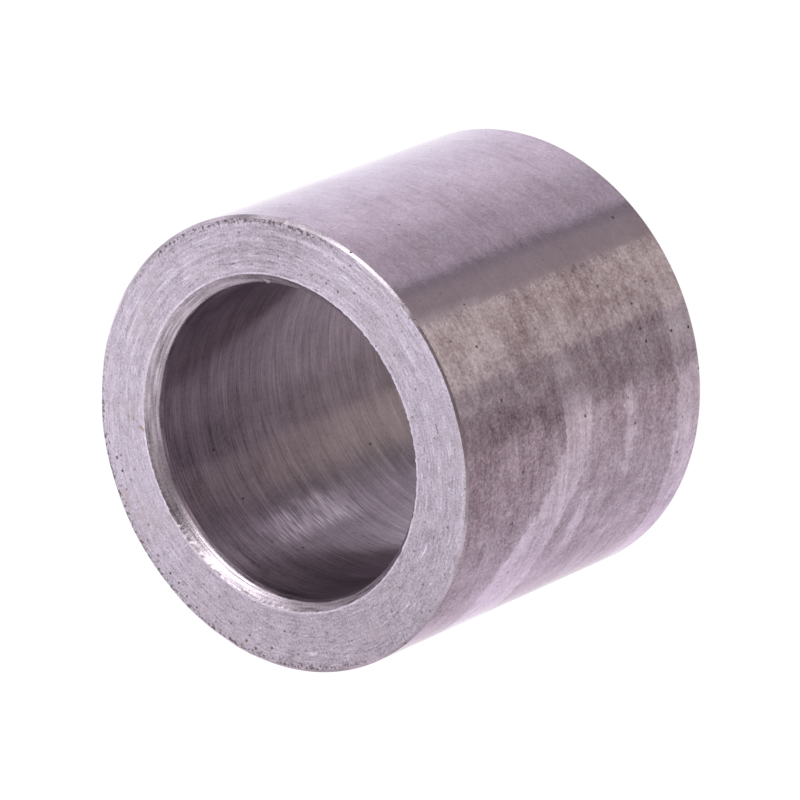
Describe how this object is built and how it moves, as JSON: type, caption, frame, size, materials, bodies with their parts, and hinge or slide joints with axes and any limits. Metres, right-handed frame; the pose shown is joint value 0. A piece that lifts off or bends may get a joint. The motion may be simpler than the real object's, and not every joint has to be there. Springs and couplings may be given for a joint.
{
  "type": "spacer sleeve",
  "caption": "Short thick-walled steel sleeve with a plain through bore and chamfered ends; keeps a fixed gap between parts clamped on a bolt or shaft.",
  "frame": {"origin": "centre of the lower end face, on the bore's axis", "axes": "+Z along the bore's axis from the lower end face to the upper one, whose bore mouth has the lead-in taper; X and Y are any pair square to it, because the sleeve is round"},
  "size_m": [0.036, 0.036, 0.03],
  "materials": {
    "turned_steel": "bare turned steel, satin, with feed marks, fine dark specks and a few small rust spots"
  },
  "bodies": {
    "root": {"sleeve": "turned_steel"}
  },
  "joints": []
}
